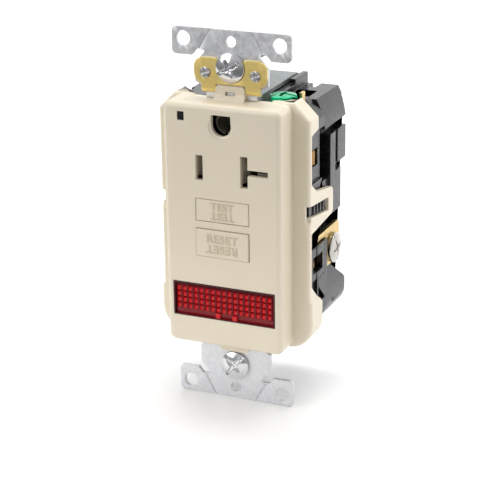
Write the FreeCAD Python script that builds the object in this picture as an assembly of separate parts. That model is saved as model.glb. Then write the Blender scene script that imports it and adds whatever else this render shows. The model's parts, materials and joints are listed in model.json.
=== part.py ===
import FreeCAD, Part
import math
import os

# A 20 A ground-fault receptacle with a pilot light, built around a wrap-over steel strap.
# Frame, in millimetres: +X to the right seen from the front, +Y back into the wall box, +Z up.
# The origin lies midway between the two box screws, in the plane of the strap's back face.

# Strap
STRAP_T = 1.2
STRAP_LENGTH = 103.1
EAR_WIDTH = 33.6
EAR_INNER_Z = 44.1
EAR_CORNER_R = 1.3
NECK_HALF = 10.35
NECK_Z = 42.2
WAIST_HALF = 7.7
WAIST_Z = 45.7
WRAP_HALF = 7.2
WRAP_Z = 33.3
BOX_SCREW_Z = 83.34 / 2
PLATE_SCREW_Z = 96.84 / 2
PLATE_HOLE_R = 1.45
EAR_HOLE_X = 13.55
EAR_HOLE_Z = 48.45
EAR_HOLE_R = 1.95
BOX_SLOT_R = 2.1

# Front cover
FACE_Y = -8.4
FACE_HALF_W = 16.6
FACE_TOP_Z = 33.2
FACE_BOTTOM_Z = -33.8
FACE_WALL = 1.6
FACE_EDGE_R = 1.5
FACE_CORNER_R = 2.0
FLANGE_Y = -0.6
FLANGE_HALF_W = 21.5
FLANGE_TOP_Z = 33.6
FLANGE_CHAMFER = 4.6
FLANGE_BOTTOM_Z = -34.4
FLANGE_LOW_HALF_W = 22.1
FLANGE_LOW_Z = -21.4
FLANGE_BOTTOM_R = 7.0
SKIRT_WALL = 1.5
SKIRT_UPPER_Y = 5.9
SKIRT_LOWER_Y = 7.4
RECESS_EDGE_Y = 1.15
ARM_Y = 16.7
ARM_WINDOW_Y0 = 0.3
ARM_WINDOW_Y1 = 13.3
END_OPENING_HALF = 16.5
TAB_HALF = 4.1
TAB_FRONT_Y = -2.2
TAB_END_Z = 36.9
TAB_LOW_END_Z = 37.5

# Housing behind the cover
FRAME_FRONT_Y = 1.2
SPLIT_Y = 13.0
BACK_Y = 28.8
LIP_Y = 29.5
BODY_HALF_W = 20.5
BODY_HALF_H = 33.1
FRAME_HALF_H = 31.95
RAISED_HALF_W = 9.5
BLOCK_TOP_Z = 31.4
BLOCK_LOW_Z = -31.2
BODY_WALL = 1.6
FLOOR_Y = 3.8
FLOOR_T = 1.4
FLOOR_BACK_Y = FLOOR_Y + FLOOR_T
CHANNEL_HALF = 7.4
CHANNEL_Y = 27.55
CAVITY_HALF_W = 13.4
CAVITY_HALF_H = 29.5
CAVITY_Y = 26.0
POCKET_X0 = 9.7
POCKET_X1 = 15.0
POCKET_Y1 = 21.0
POCKET_Z0 = 27.2

# Terminals
TERMINAL_Z = -12.0
TERMINAL_Y = 20.3
TERMINAL_PLATE_X = 19.7
TERMINAL_PLATE_T = 1.2
TERMINAL_TOP_Z = -5.7
TERMINAL_BOTTOM_Z = -16.6
CLAMP_T = 1.2
THREAD_R = 2.0

# Openings and controls in the face
SLOT_X = 6.35
SLOT_Z = 16.1
SLOT_W = 2.0
HOT_SLOT_H = 6.8
NEUTRAL_SLOT_H = 8.5
LEG_END_X = 13.0
LEG_H = 1.55
GROUND_Z = 27.8
GROUND_R = 2.75
GROUND_FLAT = 2.85
INDICATOR_X = -11.4
INDICATOR_Z = 29.6
BUTTON_HALF_W = 7.5
TEST_Z0 = 1.62
TEST_Z1 = 7.58
RESET_Z0 = -8.14
RESET_Z1 = -0.64
BUTTON_GAP = 0.15
LENS_HALF_W = 14.67
LENS_Z0 = -25.97
LENS_Z1 = -16.38
PILOT_BOARD_GAP = 3.6
RESET_Z = (RESET_Z0 + RESET_Z1) / 2
TEST_Z = (TEST_Z0 + TEST_Z1) / 2

# Screws and small hardware
BOX_HEAD_R = 4.0
CLIP_T = 0.6
CLIP_CORNER_R = 2.6
CLIP_PIN_X = 7.07
CLIP_PIN_Z = 40.05
GREEN_X = 12.1
GREEN_Y = 4.7
GREEN_HEAD_R = 4.05
GREEN_HEX_R = 3.95
GREEN_CLAMP_T = 0.8
TAB_TOP_Z = 31.2
TAB_BACK_Y = 8.5
CASE_SCREW_X = 16.8
CASE_SCREW_Z = 26.3
CASE_HEAD_Y = 25.6
CASE_HEAD_R = 2.4
RUNNING_GAP = 0.05

# Mechanism and electronics
BOARD_Y = 14.6
BOARD_T = 1.5
BOARD_BACK_Y = BOARD_Y + BOARD_T
CONTACT_X = 12.0
CONTACT_T = 0.6
LEAF_Y = -6.7
PIN_R = 1.2
BLADE_PIN_X = -9.5
BLADE_PIN_Y = -0.1
CARRIER_Y0 = 5.8
CARRIER_Y1 = 8.6
CARRIER_SPRING_DZ = 3.3
LATCH_Y = 9.2
LATCH_T = 0.8
LATCH_TRAVEL = 1.5
PLUNGER_Y = 9.0
PLUNGER_R = 1.95
PLUNGER_NOSE = 2.1
SOLENOID_Z0 = -27.5
SOLENOID_Z1 = -13.5
COIL_Z = -12.0

X = FreeCAD.Vector(1, 0, 0)
Y = FreeCAD.Vector(0, 1, 0)
Z = FreeCAD.Vector(0, 0, 1)


# ---------------------------------------------------------------- helpers

def vec(x, y, z):
    return FreeCAD.Vector(x, y, z)


def box(x0, x1, y0, y1, z0, z1):
    return Part.makeBox(x1 - x0, y1 - y0, z1 - z0, vec(x0, y0, z0))


def rod(start, axis, length, radius):
    return Part.makeCylinder(radius, length, vec(*start), axis)


def prism(points, along):
    """Extrude a closed flat polygon of (x, y, z) points."""
    corners = [vec(*point) for point in points]
    return Part.Face(Part.makePolygon(corners + corners[:1])).extrude(along)


def prism_xz(points, y0, y1):
    return prism([(x, y0, z) for x, z in points], Y * (y1 - y0))


def prism_yz(points, x0, x1):
    return prism([(x0, y, z) for y, z in points], X * (x1 - x0))


def prism_xy(points, z0, z1):
    return prism([(x, y, z0) for x, y in points], Z * (z1 - z0))


def mirror_x(shape):
    return shape.mirror(vec(0, 0, 0), X)


def mirror_z(shape):
    return shape.mirror(vec(0, 0, 0), Z)


def both_sides(shape):
    return [shape, mirror_x(shape)]


def fuse(shapes):
    first, *rest = shapes
    return first.multiFuse(rest).removeSplitter() if rest else first


def edges_at(shape, wanted):
    """The edges whose end points all satisfy wanted(point)."""
    return [e for e in shape.Edges if all(wanted(v.Point) for v in e.Vertexes)]


def round_edges(shape, radius, wanted, along):
    """Fillet the straight edges parallel to along whose end points satisfy wanted(point)."""
    edges = [e for e in edges_at(shape, wanted) if len(e.Vertexes) == 2
             and abs((e.Vertexes[1].Point - e.Vertexes[0].Point).normalize().dot(along)) > 0.999]
    return shape.makeFillet(radius, edges)


def octagon(half_w, half_h, chamfer):
    """Rectangle outline with its four corners cut at 45 degrees."""
    w, h, c = half_w, half_h, chamfer
    return [(w, h - c), (w - c, h), (c - w, h), (-w, h - c),
            (-w, c - h), (c - w, -h), (w - c, -h), (w, c - h)]


def tube(start, axis, length, outer, inner):
    return rod(start, axis, length, outer).cut(rod(start, axis, length, inner))


def coil_spring(start, axis, length, turns, radius, wire):
    """Compression spring with its wire swept round a helix."""
    helix = Part.makeHelix(length / turns, length, radius)
    profile = Part.Wire(Part.makeCircle(wire / 2, vec(radius, 0, 0), vec(0, 1, 0)))
    spring = Part.Wire(helix.Edges).makePipeShell([profile], True, True)
    turn = FreeCAD.Rotation(Z, axis)
    spring.Placement = FreeCAD.Placement(vec(*start), turn)
    return spring


def screw_head(radius, height, dome):
    """Domed truss head standing on the XY plane, crown up."""
    crown = (radius ** 2 + dome ** 2) / (2 * dome)
    disc = rod((0, 0, 0), Z, height, radius)
    ball = Part.makeSphere(crown, vec(0, 0, height - crown))
    return disc.common(ball)


def at_corners(x, z):
    """The four points (+-x, +-z)."""
    return [(sx * x, sz * z) for sx in (-1, 1) for sz in (-1, 1)]


def drive_recess(height, reach, width, depth, slot_half):
    """Cross recess in a crown, with a straight slot across it where slot_half is given."""
    arms = [box(-reach, reach, -width / 2, width / 2, height - depth, height),
            box(-width / 2, width / 2, -reach, reach, height - depth, height)]
    if slot_half:
        arms.append(box(-slot_half, slot_half, -0.4, 0.4, height - 0.75, height))
    return fuse(arms)


def placed(shape, origin, axis):
    """Move a shape built along +Z so that it starts at origin and points along axis."""
    moved = shape.copy()
    moved.Placement = FreeCAD.Placement(vec(*origin), FreeCAD.Rotation(Z, axis))
    return moved


# ---------------------------------------------------------------- strap, clip and screws

def strap_end_outline():
    """Right half of the flat strap end, from the bend up to the ear."""
    half = EAR_WIDTH / 2
    top = STRAP_LENGTH / 2
    bend = WRAP_Z + STRAP_T
    return [(0, WRAP_Z), (WRAP_HALF, WRAP_Z), (WRAP_HALF, bend), (4.0, bend), (4.0, 36.4),
            (8.6, 36.4), (NECK_HALF, 37.3), (NECK_HALF, NECK_Z), (WAIST_HALF, WAIST_Z - 0.6),
            (WAIST_HALF, WAIST_Z), (9.9, WAIST_Z), (11.2, EAR_INNER_Z), (half, EAR_INNER_Z),
            (half, top), (0, top)]


def strap_end():
    """Upper end of the strap: neck, ears and their holes."""
    plate = prism_xz(strap_end_outline(), -STRAP_T, 0)
    plate = plate.fuse(mirror_x(plate)).removeSplitter()
    ear_edge = EAR_WIDTH / 2 - 0.01
    plate = round_edges(plate, EAR_CORNER_R, lambda p: abs(p.x) > ear_edge, along=Y)
    cuts = [rod((s * EAR_HOLE_X, -STRAP_T, EAR_HOLE_Z), Y, STRAP_T, EAR_HOLE_R) for s in (-1, 1)]
    cuts.append(rod((0, -STRAP_T, PLATE_SCREW_Z), Y, STRAP_T, PLATE_HOLE_R))
    cuts.append(rod((0, -STRAP_T, BOX_SCREW_Z), Y, STRAP_T, BOX_SLOT_R))
    line = [(5.6, 51.6), (5.9, 51.6), (9.15, 46.1), (8.85, 46.1)]
    score = prism_xz(line, -STRAP_T, 0.25 - STRAP_T)
    return plate.cut(fuse(cuts + both_sides(score)))


def mounting_strap():
    """One bent steel band: two eared ends, joined round the top, back and bottom of the housing."""
    top = strap_end()
    outer = WRAP_Z + STRAP_T
    band = box(-WRAP_HALF, WRAP_HALF, -STRAP_T, BACK_Y, -outer, outer)
    band = round_edges(band, 2.2, lambda p: p.y > BACK_Y - 0.01, along=X)
    inner = box(-WRAP_HALF, WRAP_HALF, -STRAP_T, BACK_Y - STRAP_T, -WRAP_Z, WRAP_Z)
    inner = round_edges(inner, 1.0, lambda p: p.y > BACK_Y - STRAP_T - 0.01, along=X)
    band = band.cut(inner)
    tab_z0 = TAB_TOP_Z - STRAP_T
    tab = box(WRAP_HALF, END_OPENING_HALF - 0.5, 0.9, TAB_BACK_Y, tab_z0, TAB_TOP_Z)
    root = box(WRAP_HALF - STRAP_T, WRAP_HALF, 0.9, TAB_BACK_Y, tab_z0, WRAP_Z)
    hole = rod((GREEN_X, GREEN_Y, tab_z0), Z, STRAP_T, THREAD_R + RUNNING_GAP)
    nib = box(-1.1, 1.1, -STRAP_T - 0.5, -STRAP_T, 33.9, 35.1)
    return fuse([top, mirror_z(top), band, tab, root, nib]).cut(hole)


def ground_clip():
    """Brass clip on the face of the neck, with two lobes and two legs that curl back."""
    front = -STRAP_T - CLIP_T
    lobe = [(2.6, 37.1), (10.3, 37.1), (10.3, 44.0), (3.4, 44.0), (2.6, 41.0)]
    half = prism_xz(lobe, front, -STRAP_T)
    half = round_edges(half, CLIP_CORNER_R, lambda p: p.x > 10.2, along=Y)
    half = round_edges(half, 1.6, lambda p: p.x < 4 and p.z > 43.9, along=Y)
    leg = box(4.2, 8.3, front, -STRAP_T, 35.8, 38.2)
    centre = (4.2, front + 1.2, 35.8)
    curl = tube(centre, X, 4.1, 1.2, 1.2 - CLIP_T)
    curl = curl.common(box(4.2, 8.3, front, front + 1.2, 34.6, 35.8))
    bridge = box(-2.7, 2.7, front, -STRAP_T, 37.1, 38.6)
    body = fuse(both_sides(fuse([half, leg, curl])) + [bridge])
    relief = rod((0, front, BOX_SCREW_Z), Y, CLIP_T, BOX_HEAD_R + 0.1)
    pins = [rod((s * CLIP_PIN_X, front, CLIP_PIN_Z), Y, CLIP_T, 1.2) for s in (-1, 1)]
    return body.cut(fuse([relief] + pins))


def clip_rivets():
    """Two staked pins with crossed heads that hold the clip on the neck."""
    front = -STRAP_T - CLIP_T

    def pin(x):
        head = rod((x, front - 0.45, CLIP_PIN_Z), Y, 0.45, 1.45)
        shank = rod((x, front, CLIP_PIN_Z), Y, CLIP_T, 1.2)
        cross = [box(x - a, x + a, front - 0.45, front - 0.05, CLIP_PIN_Z - b, CLIP_PIN_Z + b)
                 for a, b in ((1.1, 0.22), (0.22, 1.1))]
        return head.fuse(shank).cut(fuse(cross))
    return Part.makeCompound([pin(side * CLIP_PIN_X) for side in (-1, 1)])


def box_screw(z):
    """Captive box-mounting screw with a domed combination head, seated on the strap."""
    head = screw_head(BOX_HEAD_R, 1.9, 1.0).cut(drive_recess(1.9, 2.3, 0.85, 1.2, BOX_HEAD_R))
    shank = rod((0, 0, -24), Z, 24, 1.7)
    point = Part.makeCone(0.9, 1.7, 1.2, vec(0, 0, -25.2), Z)
    return placed(fuse([head, shank, point]), (0, -STRAP_T - RUNNING_GAP, z), -Y)


def screw_retainer(z):
    """Fibre washer that keeps a box screw on the strap."""
    plate = box(-3.6, 3.6, 5.6, 6.4, z - 3.2, z + 3.2)
    plate = round_edges(plate, 1.0, lambda p: True, along=Y)
    return plate.cut(rod((0, 5.6, z), Y, 0.8, 1.7 + RUNNING_GAP))


def ground_screw():
    """Hex-headed grounding screw that stands on the strap's tab."""
    height = 2.5
    corners = [(GREEN_HEX_R * math.cos(math.radians(60 * k)),
                GREEN_HEX_R * math.sin(math.radians(60 * k))) for k in range(6)]
    hexagon = prism_xy(corners, 0.5, height)
    crown = screw_head(GREEN_HEX_R, height, 0.5)
    flange = rod((0, 0, 0), Z, 0.6, GREEN_HEAD_R)
    head = hexagon.common(crown).fuse(flange)
    head = head.cut(drive_recess(height, 2.2, 0.9, 1.0, GREEN_HEAD_R))
    shank = rod((0, 0, -4.6), Z, 4.6, THREAD_R)
    seat = TAB_TOP_Z + GREEN_CLAMP_T + 2 * RUNNING_GAP
    return placed(head.fuse(shank), (GREEN_X, GREEN_Y, seat), Z)


def ground_clamp():
    """Brass wire clamp under the grounding screw's head, with an upturned ear on its right."""
    z0 = TAB_TOP_Z + RUNNING_GAP
    x1 = END_OPENING_HALF - 0.1
    y1 = GREEN_Y + 4.9
    plate = box(GREEN_X - 3.6, x1, GREEN_Y - 3.2, y1, z0, z0 + GREEN_CLAMP_T)
    plate = round_edges(plate, 0.8, lambda p: True, along=Z)
    ear = box(x1 - 0.8, x1, y1 - 2.6, y1 - 0.4, z0, z0 + 3.2)
    hole = rod((GREEN_X, GREEN_Y, z0), Z, GREEN_CLAMP_T, THREAD_R + RUNNING_GAP)
    return plate.fuse(ear).cut(hole)


# ---------------------------------------------------------------- front cover, lens and buttons

def skirt_side_view():
    """Side view (y, z) of how far back the cover reaches at each height."""
    return [(FACE_Y - 1, 35), (SKIRT_UPPER_Y, 35), (SKIRT_UPPER_Y, 25.7), (RECESS_EDGE_Y, 24.8),
            (RECESS_EDGE_Y, 11.6), (4.9, 8.9), (ARM_Y - 0.9, 7.0), (ARM_Y, 6.2), (ARM_Y, 0.3),
            (ARM_Y - 0.9, -0.5), (1.0, -1.9), (1.0, -16.8), (SKIRT_LOWER_Y, -22.8),
            (SKIRT_LOWER_Y, -35), (FACE_Y - 1, -35)]


def flange_outline(inset, y):
    """Face of the flange's outline at depth y, all of it moved inwards by inset.

    Its upper corners are cut at 45 degrees, its lower part is wider, and its lower corners are round.
    """
    half = FLANGE_HALF_W - inset
    low = FLANGE_LOW_HALF_W - inset
    top = FLANGE_TOP_Z - inset
    bottom = FLANGE_BOTTOM_Z + inset
    cut = FLANGE_CHAMFER - 0.59 * inset
    r = FLANGE_BOTTOM_R - inset
    mid = r * (1 - math.sqrt(0.5))
    right = [(half - cut, top), (half, top - cut), (half, FLANGE_LOW_Z + 0.8), (low, FLANGE_LOW_Z),
             (low, bottom + r)]
    points = [vec(x, y, z) for x, z in right]
    start = vec(low, y, bottom + r)
    middle = vec(low - mid, y, bottom + mid)
    end = vec(low - r, y, bottom)
    edges = [Part.makeLine(a, b) for a, b in zip(points, points[1:])]
    edges.append(Part.Arc(start, middle, end).toShape())
    others = [edge.mirror(vec(0, 0, 0), X) for edge in edges]
    joins = [Part.makeLine(end, vec(-end.x, y, end.z)), Part.makeLine(vec(-points[0].x, y, top), points[0])]
    return Part.Face(Part.Wire(Part.__sortEdges__(edges + others + joins)))


def cover_shell():
    """Face block, flange, skirts and latch arms as one hollow moulding."""
    face = box(-FACE_HALF_W, FACE_HALF_W, FACE_Y, FLANGE_Y + 1, FACE_BOTTOM_Z, FACE_TOP_Z)
    face = round_edges(face, FACE_CORNER_R, lambda p: True, along=Y)
    face = face.makeFillet(FACE_EDGE_R, edges_at(face, lambda p: p.y < FACE_Y + 0.01))
    flange = flange_outline(0, FLANGE_Y).extrude(Y * (ARM_Y + 1 - FLANGE_Y))
    flange = flange.makeFillet(1.0, edges_at(flange, lambda p: p.y < FLANGE_Y + 0.01))
    flange = flange.common(prism_yz(skirt_side_view(), -30, 30))
    hollow = flange_outline(SKIRT_WALL, FLANGE_Y + SKIRT_WALL).extrude(Y * (ARM_Y + 2))
    ends = [box(-END_OPENING_HALF, END_OPENING_HALF, 0.5, ARM_Y + 2, z, z + 12) for z in (24, -36)]
    inner_w = FACE_HALF_W - SKIRT_WALL
    cavity = box(-inner_w, inner_w, FACE_Y + FACE_WALL, 3,
                 FACE_BOTTOM_Z + SKIRT_WALL, FACE_TOP_Z - SKIRT_WALL)
    seats = [box(-11, 11, -STRAP_T - RUNNING_GAP, 1, z, z + 2) for z in (33.2, -35.2)]
    return fuse([face, flange]).cut(fuse([hollow, cavity] + ends)).cut(fuse(seats))


def hook_tab(end_z):
    """Tab that stands up in front of the strap as far as end_z."""
    shoulder_z = end_z - 0.6
    outline = [(-4.3, 31.9), (4.3, 31.9), (TAB_HALF, shoulder_z), (3.5, end_z), (-3.5, end_z),
               (-TAB_HALF, shoulder_z)]
    tab = prism_xz(outline, TAB_FRONT_Y, -STRAP_T - RUNNING_GAP)
    foot = prism_yz([(-4.0, 33.0), (TAB_FRONT_Y, 34.6), (TAB_FRONT_Y, 33.0)], -4.3, 4.3)
    return tab.fuse(foot)


def ground_opening(y0, y1):
    """U-shaped opening for the grounding pin, flat side up."""
    arch = rod((0, y0, GROUND_Z), Y, y1 - y0, GROUND_R)
    return arch.fuse(box(-GROUND_R, GROUND_R, y0, y1, GROUND_Z, GROUND_Z + GROUND_FLAT))


def slot_openings(y0, y1):
    """The straight slot on the left and the T-shaped slot on the right."""
    half = SLOT_W / 2
    hot = box(-SLOT_X - half, half - SLOT_X, y0, y1, SLOT_Z - HOT_SLOT_H / 2, SLOT_Z + HOT_SLOT_H / 2)
    neutral = box(SLOT_X - half, SLOT_X + half, y0, y1,
                  SLOT_Z - NEUTRAL_SLOT_H / 2, SLOT_Z + NEUTRAL_SLOT_H / 2)
    leg = box(SLOT_X, LEG_END_X, y0, y1, SLOT_Z - LEG_H / 2, SLOT_Z + LEG_H / 2)
    return fuse([hot, neutral, leg])


def window(x_half, z0, z1, gap, x=0.0):
    """Rectangular opening through the face, with a gap all round what fills it."""
    y1 = FACE_Y + FACE_WALL + 0.5
    return box(x - x_half - gap, x + x_half + gap, FACE_Y - 1, y1, z0 - gap, z1 + gap)


def arm_window_span(y, gap):
    """Lower and upper edge of the tilted window in the side arm at depth y, less a gap."""
    along = (y - ARM_WINDOW_Y0) / (ARM_WINDOW_Y1 - ARM_WINDOW_Y0)
    return 2.8 - 1.7 * along + gap, 5.9 - 1.2 * along - gap


def window_bar(y0, y1, x0, x1, gap):
    """Bar that fills the arm's window from y0 to y1, with a gap above and below it."""
    low0, high0 = arm_window_span(y0, gap)
    low1, high1 = arm_window_span(y1, gap)
    return prism_yz([(y0, low0), (y0, high0), (y1, high1), (y1, low1)], x0, x1)


def arm_window():
    """Tilted window in the side arm and the notch that runs from it over the flange."""
    opening = window_bar(ARM_WINDOW_Y0, ARM_WINDOW_Y1, 19.0, 23.0, 0)
    notch = [(FLANGE_Y - 0.1, 0.9), (FLANGE_Y - 0.1, 6.1), (0.6, 6.0), (0.6, 1.6)]
    return opening.fuse(prism_yz(notch, 20.3, 23.0))


def front_cover():
    shell = fuse([cover_shell(), hook_tab(TAB_END_Z), mirror_z(hook_tab(TAB_LOW_END_Z))])
    y0 = FACE_Y - 1
    y1 = FACE_Y + FACE_WALL + 0.5
    dish = rod((0, FACE_Y, GROUND_Z), Y, 0.2, GROUND_R + 0.85)
    dish = dish.common(box(-5, 5, FACE_Y, 0, GROUND_Z - 5, GROUND_Z + 0.6))
    nib = box(-1.3, 1.3, TAB_FRONT_Y - 0.1, 0, 33.75, 35.3)
    openings = [ground_opening(y0, y1), slot_openings(y0, y1), dish, nib,
                window(0.95, INDICATOR_Z - 1.2, INDICATOR_Z + 1.2, 0, INDICATOR_X),
                window(BUTTON_HALF_W, TEST_Z0, TEST_Z1, BUTTON_GAP),
                window(BUTTON_HALF_W, RESET_Z0, RESET_Z1, BUTTON_GAP),
                window(LENS_HALF_W, LENS_Z0, LENS_Z1, 0.05)]
    return shell.cut(fuse(openings + both_sides(arm_window())))


def button(z0, z1, proud, stem):
    """Rectangular push button with a lip behind the face and a stem."""
    inside = FACE_Y + FACE_WALL
    cap = box(-BUTTON_HALF_W, BUTTON_HALF_W, FACE_Y - proud, inside + 0.6, z0, z1)
    cap = cap.makeFillet(0.35, edges_at(cap, lambda p: p.y < FACE_Y - proud + 0.01))
    lip = box(-BUTTON_HALF_W - 0.7, BUTTON_HALF_W + 0.7, inside + 0.05, inside + 1.0, z0 - 0.7, z1 + 0.7)
    return fuse([cap, lip, stem])


def test_button():
    stem = box(-0.8, 0.8, FACE_Y + FACE_WALL, -1.25, TEST_Z - 1.0, TEST_Z + 1.0)
    return button(TEST_Z0, TEST_Z1, 0.05, stem)


def reset_button():
    boss = rod((0, FACE_Y + FACE_WALL, RESET_Z), Y, 2.4, 2.4)
    body = button(RESET_Z0, RESET_Z1, 0.45, boss)
    return body.cut(rod((0, -6.0, RESET_Z), Y, 2.0, 1.2))


def reset_pin():
    """Steel pin of the reset button, with a turned neck that the latch plate grips."""
    pin = rod((0, -6.0, RESET_Z), Y, 18.0, 1.2)
    neck = tube((0, 9.0, RESET_Z), Y, 1.2, 1.3, 0.8)
    return pin.cut(neck)


def reset_spring():
    return coil_spring((0, -4.2, RESET_Z), Y, 7.7, 6, 2.1, 0.4)


def pilot_lens():
    """Red prismatic lens, a shallow tray with a rim behind the face."""
    inside = FACE_Y + FACE_WALL
    front = box(-LENS_HALF_W, LENS_HALF_W, FACE_Y - 0.05, inside + 0.8, LENS_Z0, LENS_Z1)
    rim = box(-LENS_HALF_W - 0.3, LENS_HALF_W + 0.3, inside + 0.02, inside + 0.8,
              LENS_Z0 - 0.8, LENS_Z1 + 0.8)
    hollow = box(1.2 - LENS_HALF_W, LENS_HALF_W - 1.2, FACE_Y + 1.1, inside + 1,
                 LENS_Z0 + 1.2, LENS_Z1 - 1.2)
    return front.fuse(rim).removeSplitter().cut(hollow)


def pilot_board():
    inside = FACE_Y + FACE_WALL
    y0 = inside + PILOT_BOARD_GAP
    return box(-13.5, 13.5, y0, y0 + 1.2, LENS_Z0 + 0.6, LENS_Z1 - 0.6)


def pilot_lamps():
    """Three domed lamps on the pilot board, facing the lens."""
    radius = 1.4
    foot = FACE_Y + FACE_WALL + PILOT_BOARD_GAP
    z = (LENS_Z0 + LENS_Z1) / 2
    lamp = rod((0, foot - 1.5, z), Y, 1.5, radius).fuse(Part.makeSphere(radius, vec(0, foot - 1.5, z)))
    return Part.makeCompound([lamp.translated(X * x) for x in (-8.5, 0, 8.5)])


def indicator_window():
    """Smoked light pipe behind the small window at the top left."""
    x0 = INDICATOR_X
    z0 = INDICATOR_Z
    inside = FACE_Y + FACE_WALL
    tip = box(x0 - 0.9, x0 + 0.9, FACE_Y + 0.3, 3.6, z0 - 1.15, z0 + 1.15)
    collar = box(x0 - 1.7, x0 + 1.7, inside + 0.05, inside + 0.9, z0 - 1.7, z0 + 1.7)
    return tip.fuse(collar)


# ---------------------------------------------------------------- housing

def side_pits(y0, y1, z0, z1, floor_x):
    """Pair of pits in the side walls, from floor_x outwards."""
    return both_sides(box(floor_x, 23, y0, y1, z0, z1))


def middle_frame():
    """Black tray between cover and rear cover, with a floor that carries the contacts."""
    skirt_clear = 0.15
    front = prism_xz(octagon(19.75, FRAME_HALF_H, 3.7), FRAME_FRONT_Y, SPLIT_Y)
    rear = prism_xz(octagon(BODY_HALF_W, FRAME_HALF_H, 4.4), SKIRT_LOWER_Y + skirt_clear, SPLIT_Y)
    upper = prism_xz(octagon(BODY_HALF_W, FRAME_HALF_H, 4.4), SKIRT_UPPER_Y + skirt_clear, SPLIT_Y)
    upper = upper.common(box(-30, 30, 0, 30, 20, 40))
    raised = box(-RAISED_HALF_W, RAISED_HALF_W, FRAME_FRONT_Y, SPLIT_Y, -BODY_HALF_H, BODY_HALF_H)
    blocks = both_sides(box(17.0, 20.3, 1.3, SPLIT_Y, -16.8, -7.6))
    body = fuse([front, rear, upper, raised] + blocks)
    room = octagon(17.9, FRAME_HALF_H - BODY_WALL, 3.2)
    body = body.cut(fuse([prism_xz(room, FLOOR_BACK_Y, SPLIT_Y), prism_xz(room, FRAME_FRONT_Y, FLOOR_Y)]))
    corners = at_corners(CASE_SCREW_X, CASE_SCREW_Z)
    bosses = [rod((x, FRAME_FRONT_Y, z), Y, SPLIT_Y - FRAME_FRONT_Y, 2.6) for x, z in corners]
    body = fuse([body] + bosses)
    cuts = [rod((x, 3.0, z), Y, SPLIT_Y - 3.0, 1.5) for x, z in corners]
    cuts += side_pits(FRAME_FRONT_Y, SPLIT_Y, 10.2, 24.6, 19.0)
    cuts += side_pits(SKIRT_LOWER_Y, SPLIT_Y, -2.2, 10.2, 19.75)
    cuts += side_pits(FRAME_FRONT_Y, SPLIT_Y, -7.6, -2.2, 18.2)
    cuts += side_pits(8.4, SPLIT_Y, -24.0, -16.6, 19.2)
    cuts += side_pits(5.0, 11.4, -14.8, -10.2, 16.0)
    cuts += side_pits(5.0, 11.4, 14.3, 18.9, 16.0)
    cuts.append(box(5.8, 17.0, 0.9, TAB_BACK_Y + 1.5, TAB_TOP_Z - STRAP_T - 0.1, 34))
    cuts.append(box(5.8, 14.4, 0.9, TAB_BACK_Y, POCKET_Z0, 34))
    cuts.append(box(POCKET_X0, POCKET_X1, TAB_BACK_Y, SPLIT_Y, POCKET_Z0, 34))
    cuts.append(rod((0, FLOOR_Y - 1, RESET_Z), Y, 4, PIN_R + 0.4))
    cuts += both_sides(rod((CONTACT_X, FLOOR_Y - 1, RESET_Z), Y, 4, 2.2))
    cuts.append(box(-4.3, 4.3, 0, FLOOR_Y + 1, 30, 34))
    cuts.append(box(INDICATOR_X - 1.2, INDICATOR_X + 1.2, 0, 12, 28.2, 31.0))
    return body.cut(fuse(cuts))


def latch_blocks():
    """Ribbed blocks of the middle frame that snap into the windows of the cover's arms."""
    gap = 0.15
    base = window_bar(1.3, 12.9, 19.5, 20.5, gap)
    ribs = [window_bar(y, y + 0.8, 20.5, 20.9, gap) for y in (4.0, 6.2, 8.4, 10.6)]
    return fuse([base] + ribs)


def rear_face():
    """Outline of the rear cover at its front, with rounded shoulders above and below."""
    y = SPLIT_Y + 0.02
    top = vec(18.0, y, BLOCK_TOP_Z)
    low = vec(17.6, y, BLOCK_LOW_Z)
    shoulder = Part.Arc(top, vec(19.5, y, 28.1), vec(BODY_HALF_W, y, 23.4)).toShape()
    foot = Part.Arc(vec(BODY_HALF_W, y, -26.4), vec(19.7, y, -29.2), low).toShape()
    side = Part.makeLine(vec(BODY_HALF_W, y, 23.4), vec(BODY_HALF_W, y, -26.4))
    step = [vec(RAISED_HALF_W, y, BODY_HALF_H), vec(RAISED_HALF_W, y, BLOCK_TOP_Z), top]
    under = [low, vec(RAISED_HALF_W, y, BLOCK_LOW_Z), vec(RAISED_HALF_W, y, -BODY_HALF_H)]
    edges = [Part.makeLine(a, b) for path in (step, under) for a, b in zip(path, path[1:])]
    edges += [shoulder, side, foot]
    edges += [edge.mirror(vec(0, 0, 0), X) for edge in edges]
    edges += [Part.makeLine(vec(-RAISED_HALF_W, y, z), vec(RAISED_HALF_W, y, z))
              for z in (-BODY_HALF_H, BODY_HALF_H)]
    return Part.Face(Part.Wire(Part.__sortEdges__(edges)))


def rear_solid():
    """Outer form of the rear cover: body, lips, ears beside the frame and ribs beside the strap."""
    face = rear_face()
    body = face.extrude(Y * (BACK_Y - SPLIT_Y - 0.02))
    lips = face.extrude(Y * (LIP_Y - SPLIT_Y)).common(fuse(both_sides(box(13.0, 22, 20, 30, 28.9, 32))))
    ears = both_sides(prism_yz([(8.5, -16.7), (SPLIT_Y + 0.1, -16.7), (SPLIT_Y + 0.1, -23.6),
                                (8.5, -19.3)], 19.3, BODY_HALF_W))
    ribs = [box(x - 0.8, x + 0.8, 19.5, BACK_Y, z - 0.75, z + 0.75) for x, z in at_corners(8.7, 33.8)]
    return fuse([body, lips] + ears + ribs)


def terminal_bays():
    """Bays for the line terminals, with a floor that slopes down to the back."""
    front = SPLIT_Y + 2.1
    floor = [(front, -1.6), (30, -1.6), (30, -24.4), (20.8, -17.0), (front, -17.0)]
    bay = prism_yz(floor, 15.0, 23)
    bevel = prism_xz([(BODY_HALF_W + 0.1, -22.6), (18.7, -16.9), (23, -16.9), (23, -22.6)], front, 30)
    wire_way = box(13.0, 15.2, 23.2, 25.0, -14.0, -10.0)
    return both_sides(bay) + both_sides(bevel) + both_sides(wire_way)


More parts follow.
